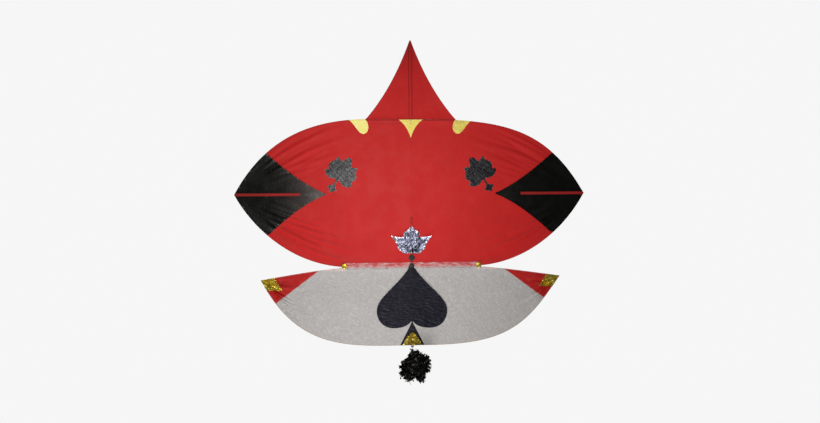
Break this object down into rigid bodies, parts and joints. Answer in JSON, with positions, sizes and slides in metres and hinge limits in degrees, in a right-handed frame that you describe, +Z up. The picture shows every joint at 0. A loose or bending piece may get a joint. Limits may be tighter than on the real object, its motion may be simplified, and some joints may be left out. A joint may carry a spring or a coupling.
{
  "type": "flat paper kite",
  "caption": "Flat bamboo-and-paper kite with a pointed head, a lens-shaped wing, a crescent lower wing, foil and paper cut-outs and a hanging pompom.",
  "frame": {"origin": "the upper bridle point: the middle of the spine where it crosses the leading spar, at the back face of the paper", "axes": "+Z up along the spine to the head's point, +X to the right seen from the front, the papered front faces -Y"},
  "size_m": [1.2, 0.112, 1.176],
  "materials": {
    "bamboo": "satin",
    "thread": "matte",
    "red_paper": "matte",
    "grey_paper": "matte",
    "black_paper": "satin",
    "navy_paper": "satin",
    "gold_foil": "gloss",
    "silver_foil": "satin",
    "black_ribbon": "satin"
  },
  "bodies": {
    "kite": {"spine": "bamboo", "leading_spar": "bamboo", "trailing_spar": "bamboo", "lower_top_spar": "bamboo", "lower_bow": "bamboo", "head_strip_left": "bamboo", "head_strip_right": "bamboo", "tip_rib_left": "bamboo", "tip_rib_right": "bamboo", "neck_lashing": "thread", "waist_lashing": "thread", "bottom_lashing": "thread", "head_tip_lashing": "thread", "head_base_lashing_left": "thread", "head_base_lashing_right": "thread", "wing_tip_lashing_left": "thread", "wing_tip_lashing_right": "thread", "waist_side_lashing_left": "thread", "waist_side_lashing_right": "thread", "lower_tip_lashing_left": "thread", "lower_tip_lashing_right": "thread", "head_sail": "red_paper", "main_sail": "red_paper", "lower_sail": "grey_paper", "tip_panel_left": "black_paper", "tip_panel_right": "black_paper", "rib_strip_left": "red_paper", "rib_strip_right": "red_paper", "corner_panel_left": "red_paper", "corner_panel_right": "red_paper", "gold_moon_left": "gold_foil", "gold_moon_right": "gold_foil", "gold_neck_triangle": "gold_foil", "gold_dot_left": "gold_foil", "gold_dot_right": "gold_foil", "gold_tip_left": "gold_foil", "gold_tip_right": "gold_foil", "gold_tail_triangle": "gold_foil", "leaf_left": "black_paper", "leaf_right": "black_paper", "silver_leaf": "silver_foil", "silver_leaf_stem": "black_paper", "spade": "navy_paper", "spade_cap": "black_paper", "bridle_knot_upper": "thread", "bridle_knot_lower": "thread", "tail_knot": "thread"},
    "upper_loop": {"bridle_loop_upper": "thread"},
    "lower_loop": {"bridle_loop_lower": "thread"},
    "tail_link": {"tail_loop": "thread"},
    "pompom": {"pompom_hanger": "thread", "pompom_tie": "black_ribbon", "pompom": "black_ribbon"}
  },
  "joints": [
    {"name": "upper_loop_swing", "type": "hinge", "parent": "kite", "child": "upper_loop", "pos_m": [0, -0.0018, -0.003], "axis": [-1, 0, 0], "range_deg": [0, 150]},
    {"name": "lower_loop_swing", "type": "hinge", "parent": "kite", "child": "lower_loop", "pos_m": [0, -0.0016, -0.337], "axis": [-1, 0, 0], "range_deg": [0, 150]},
    {"name": "tail_loop_swing", "type": "hinge", "parent": "kite", "child": "tail_link", "pos_m": [0, -0.0022, -0.762], "axis": [-1, 0, 0], "range_deg": [0, 60]},
    {"name": "pompom_swing", "type": "hinge", "parent": "tail_link", "child": "pompom", "pos_m": [0, -0.0022, -0.78075], "axis": [0, 1, 0], "range_deg": [-30, 30]}
  ]
}
